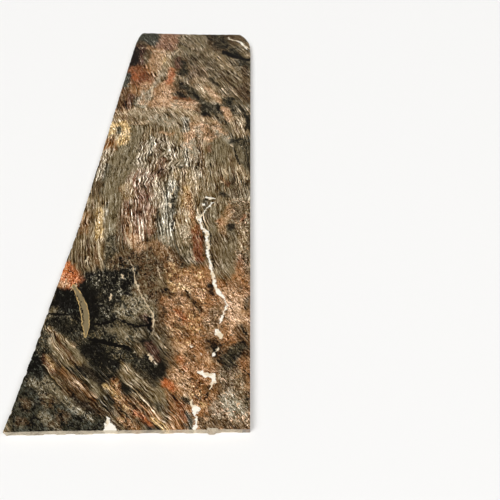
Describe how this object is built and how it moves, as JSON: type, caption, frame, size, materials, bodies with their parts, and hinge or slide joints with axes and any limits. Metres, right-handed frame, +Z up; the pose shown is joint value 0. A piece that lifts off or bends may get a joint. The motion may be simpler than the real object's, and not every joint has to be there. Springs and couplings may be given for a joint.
{
  "type": "rough granite slab",
  "caption": "Long slab of dark figured granite lying flat, polished on its upper face, with raw broken ends and side.",
  "frame": {"origin": "middle of the underside", "axes": "+Z up through the polished face, +Y along the slab from its near end to its rounded far end, +X towards the sawn long side"},
  "size_m": [0.7998, 2.7388, 0.03],
  "materials": {
    "granite": "polished upper face, raw broken rim, sawn underside"
  },
  "bodies": {
    "root": {"granite_slab": "granite"}
  },
  "joints": []
}
